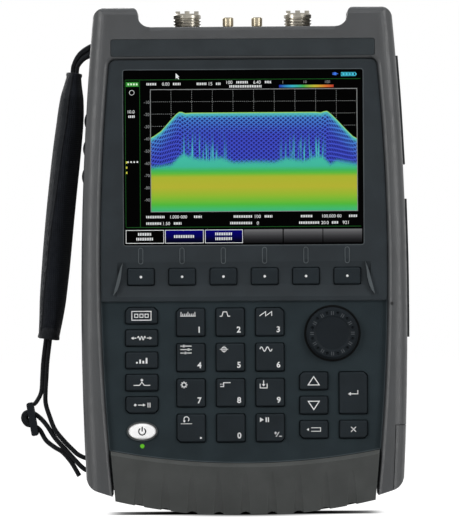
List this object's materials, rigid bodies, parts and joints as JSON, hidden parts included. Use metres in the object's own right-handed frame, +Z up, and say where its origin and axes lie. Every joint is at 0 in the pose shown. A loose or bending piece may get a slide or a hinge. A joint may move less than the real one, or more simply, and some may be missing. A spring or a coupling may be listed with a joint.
{
  "type": "handheld spectrum analyzer",
  "caption": "Rugged handheld spectrum analyzer with a display over softkeys, keypad and knob, coaxial ports on top, side doors, a tilt bail and a padded hand strap.",
  "frame": {"origin": "under the middle of the foot, midway between the front and the back", "axes": "+Z up, -Y is the front with the display, +X is the viewer's right"},
  "size_m": [0.2251, 0.072, 0.292],
  "materials": {
    "guard_rubber": "matte, fine grain",
    "bumper_rubber": "matte, fine grain",
    "face_plastic": "satin",
    "panel_plastic": "matte",
    "strip_plastic": "satin",
    "display_glass": "gloss",
    "inner_metal": "satin",
    "bezel_plastic": "satin",
    "green_lens": "gloss",
    "key_mat_rubber": "matte",
    "circuit_board": "satin",
    "steel": "satin",
    "knob_rubber": "matte",
    "key_plastic": "matte",
    "white_key": "satin",
    "rear_plastic": "fine grain",
    "panel_metal": "satin",
    "nickel": "bright nickel",
    "gold_plate": "gold plate",
    "battery_plastic": "satin",
    "door_plastic": "matte",
    "bail_plastic": "satin",
    "strap_fabric": "woven",
    "webbing": "woven",
    "slider_plastic": "satin"
  },
  "bodies": {
    "case": {"side_guard": "guard_rubber", "name_strip": "strip_plastic", "front_case": "face_plastic", "display_glass": "display_glass", "display_panel": "inner_metal", "keypad_panel": "panel_plastic", "power_bezel": "bezel_plastic", "status_lens": "green_lens", "key_mat": "key_mat_rubber", "keypad_board": "circuit_board", "encoder_body": "inner_metal", "bottom_bumper": "bumper_rubber", "rear_case": "rear_plastic", "connector_panel": "panel_metal", "n_connectors": "nickel", "sma_connectors": "gold_plate", "main_board": "circuit_board", "radio_module": "inner_metal", "port_sockets": "steel", "battery_pack": "battery_plastic", "hinge_pins": "steel", "case_screws": "steel", "strap_pad": "strap_fabric", "strap_webbing": "webbing", "strap_slider": "slider_plastic"},
    "knob": {"knob": "knob_rubber", "encoder_shaft": "steel"},
    "softkey_1": {"softkey_1": "key_plastic"},
    "softkey_2": {"softkey_2": "key_plastic"},
    "softkey_3": {"softkey_3": "key_plastic"},
    "softkey_4": {"softkey_4": "key_plastic"},
    "softkey_5": {"softkey_5": "key_plastic"},
    "softkey_6": {"softkey_6": "key_plastic"},
    "function_key_1": {"function_key_1": "key_plastic"},
    "function_key_2": {"function_key_2": "key_plastic"},
    "function_key_3": {"function_key_3": "key_plastic"},
    "function_key_4": {"function_key_4": "key_plastic"},
    "function_key_5": {"function_key_5": "key_plastic"},
    "power_key": {"power_key": "white_key"},
    "digit_key_1": {"digit_key_1": "key_plastic"},
    "digit_key_2": {"digit_key_2": "key_plastic"},
    "digit_key_3": {"digit_key_3": "key_plastic"},
    "digit_key_4": {"digit_key_4": "key_plastic"},
    "digit_key_5": {"digit_key_5": "key_plastic"},
    "digit_key_6": {"digit_key_6": "key_plastic"},
    "digit_key_7": {"digit_key_7": "key_plastic"},
    "digit_key_8": {"digit_key_8": "key_plastic"},
    "digit_key_9": {"digit_key_9": "key_plastic"},
    "point_key": {"point_key": "key_plastic"},
    "digit_key_0": {"digit_key_0": "key_plastic"},
    "sign_key": {"sign_key": "key_plastic"},
    "up_key": {"up_key": "key_plastic"},
    "down_key": {"down_key": "key_plastic"},
    "back_key": {"back_key": "key_plastic"},
    "enter_key": {"enter_key": "key_plastic"},
    "escape_key": {"escape_key": "key_plastic"},
    "battery_door": {"battery_door": "guard_rubber"},
    "upper_port_door": {"upper_port_door": "door_plastic"},
    "lower_port_door": {"lower_port_door": "door_plastic"},
    "bail": {"bail": "bail_plastic"}
  },
  "joints": [
    {"name": "bail_hinge", "type": "hinge", "parent": "case", "child": "bail", "pos_m": [0, 0.0334, 0.15], "axis": [1, 0, 0], "range_deg": [0, 60]},
    {"name": "battery_door_hinge", "type": "hinge", "parent": "case", "child": "battery_door", "pos_m": [0.08801, 0.027, 0.0304], "axis": [0.0445, 0, 0.999], "range_deg": [0, 90]},
    {"name": "lower_port_door_hinge", "type": "hinge", "parent": "case", "child": "lower_port_door", "pos_m": [0.0894, 0.027, 0.14118], "axis": [-0.0138, 0, 0.9999], "range_deg": [0, 90]},
    {"name": "upper_port_door_hinge", "type": "hinge", "parent": "case", "child": "upper_port_door", "pos_m": [0.0861, 0.027, 0.23258], "axis": [-0.0619, 0, 0.9981], "range_deg": [0, 90]},
    {"name": "knob_turn", "type": "hinge", "parent": "case", "child": "knob", "pos_m": [0.0507, -0.034, 0.1037], "axis": [0, -1, 0], "continuous": true},
    {"name": "softkey_1_press", "type": "slide", "parent": "case", "child": "softkey_1", "axis": [0, 1, 0], "range_m": [0, 0.0012], "stiffness_N_per_m": 800},
    {"name": "softkey_2_press", "type": "slide", "parent": "case", "child": "softkey_2", "axis": [0, 1, 0], "range_m": [0, 0.0012], "stiffness_N_per_m": 800},
    {"name": "softkey_3_press", "type": "slide", "parent": "case", "child": "softkey_3", "axis": [0, 1, 0], "range_m": [0, 0.0012], "stiffness_N_per_m": 800},
    {"name": "softkey_4_press", "type": "slide", "parent": "case", "child": "softkey_4", "axis": [0, 1, 0], "range_m": [0, 0.0012], "stiffness_N_per_m": 800},
    {"name": "softkey_5_press", "type": "slide", "parent": "case", "child": "softkey_5", "axis": [0, 1, 0], "range_m": [0, 0.0012], "stiffness_N_per_m": 800},
    {"name": "softkey_6_press", "type": "slide", "parent": "case", "child": "softkey_6", "axis": [0, 1, 0], "range_m": [0, 0.0012], "stiffness_N_per_m": 800},
    {"name": "function_key_1_press", "type": "slide", "parent": "case", "child": "function_key_1", "axis": [0, 1, 0], "range_m": [0, 0.0012], "stiffness_N_per_m": 800},
    {"name": "function_key_2_press", "type": "slide", "parent": "case", "child": "function_key_2", "axis": [0, 1, 0], "range_m": [0, 0.0012], "stiffness_N_per_m": 800},
    {"name": "function_key_3_press", "type": "slide", "parent": "case", "child": "function_key_3", "axis": [0, 1, 0], "range_m": [0, 0.0012], "stiffness_N_per_m": 800},
    {"name": "function_key_4_press", "type": "slide", "parent": "case", "child": "function_key_4", "axis": [0, 1, 0], "range_m": [0, 0.0012], "stiffness_N_per_m": 800},
    {"name": "function_key_5_press", "type": "slide", "parent": "case", "child": "function_key_5", "axis": [0, 1, 0], "range_m": [0, 0.0012], "stiffness_N_per_m": 800},
    {"name": "power_key_press", "type": "slide", "parent": "case", "child": "power_key", "axis": [0, 1, 0], "range_m": [0, 0.0012], "stiffness_N_per_m": 800},
    {"name": "digit_key_1_press", "type": "slide", "parent": "case", "child": "digit_key_1", "axis": [0, 1, 0], "range_m": [0, 0.0012], "stiffness_N_per_m": 800},
    {"name": "digit_key_2_press", "type": "slide", "parent": "case", "child": "digit_key_2", "axis": [0, 1, 0], "range_m": [0, 0.0012], "stiffness_N_per_m": 800},
    {"name": "digit_key_3_press", "type": "slide", "parent": "case", "child": "digit_key_3", "axis": [0, 1, 0], "range_m": [0, 0.0012], "stiffness_N_per_m": 800},
    {"name": "digit_key_4_press", "type": "slide", "parent": "case", "child": "digit_key_4", "axis": [0, 1, 0], "range_m": [0, 0.0012], "stiffness_N_per_m": 800},
    {"name": "digit_key_5_press", "type": "slide", "parent": "case", "child": "digit_key_5", "axis": [0, 1, 0], "range_m": [0, 0.0012], "stiffness_N_per_m": 800},
    {"name": "digit_key_6_press", "type": "slide", "parent": "case", "child": "digit_key_6", "axis": [0, 1, 0], "range_m": [0, 0.0012], "stiffness_N_per_m": 800},
    {"name": "digit_key_7_press", "type": "slide", "parent": "case", "child": "digit_key_7", "axis": [0, 1, 0], "range_m": [0, 0.0012], "stiffness_N_per_m": 800},
    {"name": "digit_key_8_press", "type": "slide", "parent": "case", "child": "digit_key_8", "axis": [0, 1, 0], "range_m": [0, 0.0012], "stiffness_N_per_m": 800},
    {"name": "digit_key_9_press", "type": "slide", "parent": "case", "child": "digit_key_9", "axis": [0, 1, 0], "range_m": [0, 0.0012], "stiffness_N_per_m": 800},
    {"name": "point_key_press", "type": "slide", "parent": "case", "child": "point_key", "axis": [0, 1, 0], "range_m": [0, 0.0012], "stiffness_N_per_m": 800},
    {"name": "digit_key_0_press", "type": "slide", "parent": "case", "child": "digit_key_0", "axis": [0, 1, 0], "range_m": [0, 0.0012], "stiffness_N_per_m": 800},
    {"name": "sign_key_press", "type": "slide", "parent": "case", "child": "sign_key", "axis": [0, 1, 0], "range_m": [0, 0.0012], "stiffness_N_per_m": 800},
    {"name": "up_key_press", "type": "slide", "parent": "case", "child": "up_key", "axis": [0, 1, 0], "range_m": [0, 0.0012], "stiffness_N_per_m": 800},
    {"name": "down_key_press", "type": "slide", "parent": "case", "child": "down_key", "axis": [0, 1, 0], "range_m": [0, 0.0012], "stiffness_N_per_m": 800},
    {"name": "back_key_press", "type": "slide", "parent": "case", "child": "back_key", "axis": [0, 1, 0], "range_m": [0, 0.0012], "stiffness_N_per_m": 800},
    {"name": "enter_key_press", "type": "slide", "parent": "case", "child": "enter_key", "axis": [0, 1, 0], "range_m": [0, 0.0012], "stiffness_N_per_m": 800},
    {"name": "escape_key_press", "type": "slide", "parent": "case", "child": "escape_key", "axis": [0, 1, 0], "range_m": [0, 0.0012], "stiffness_N_per_m": 800}
  ]
}
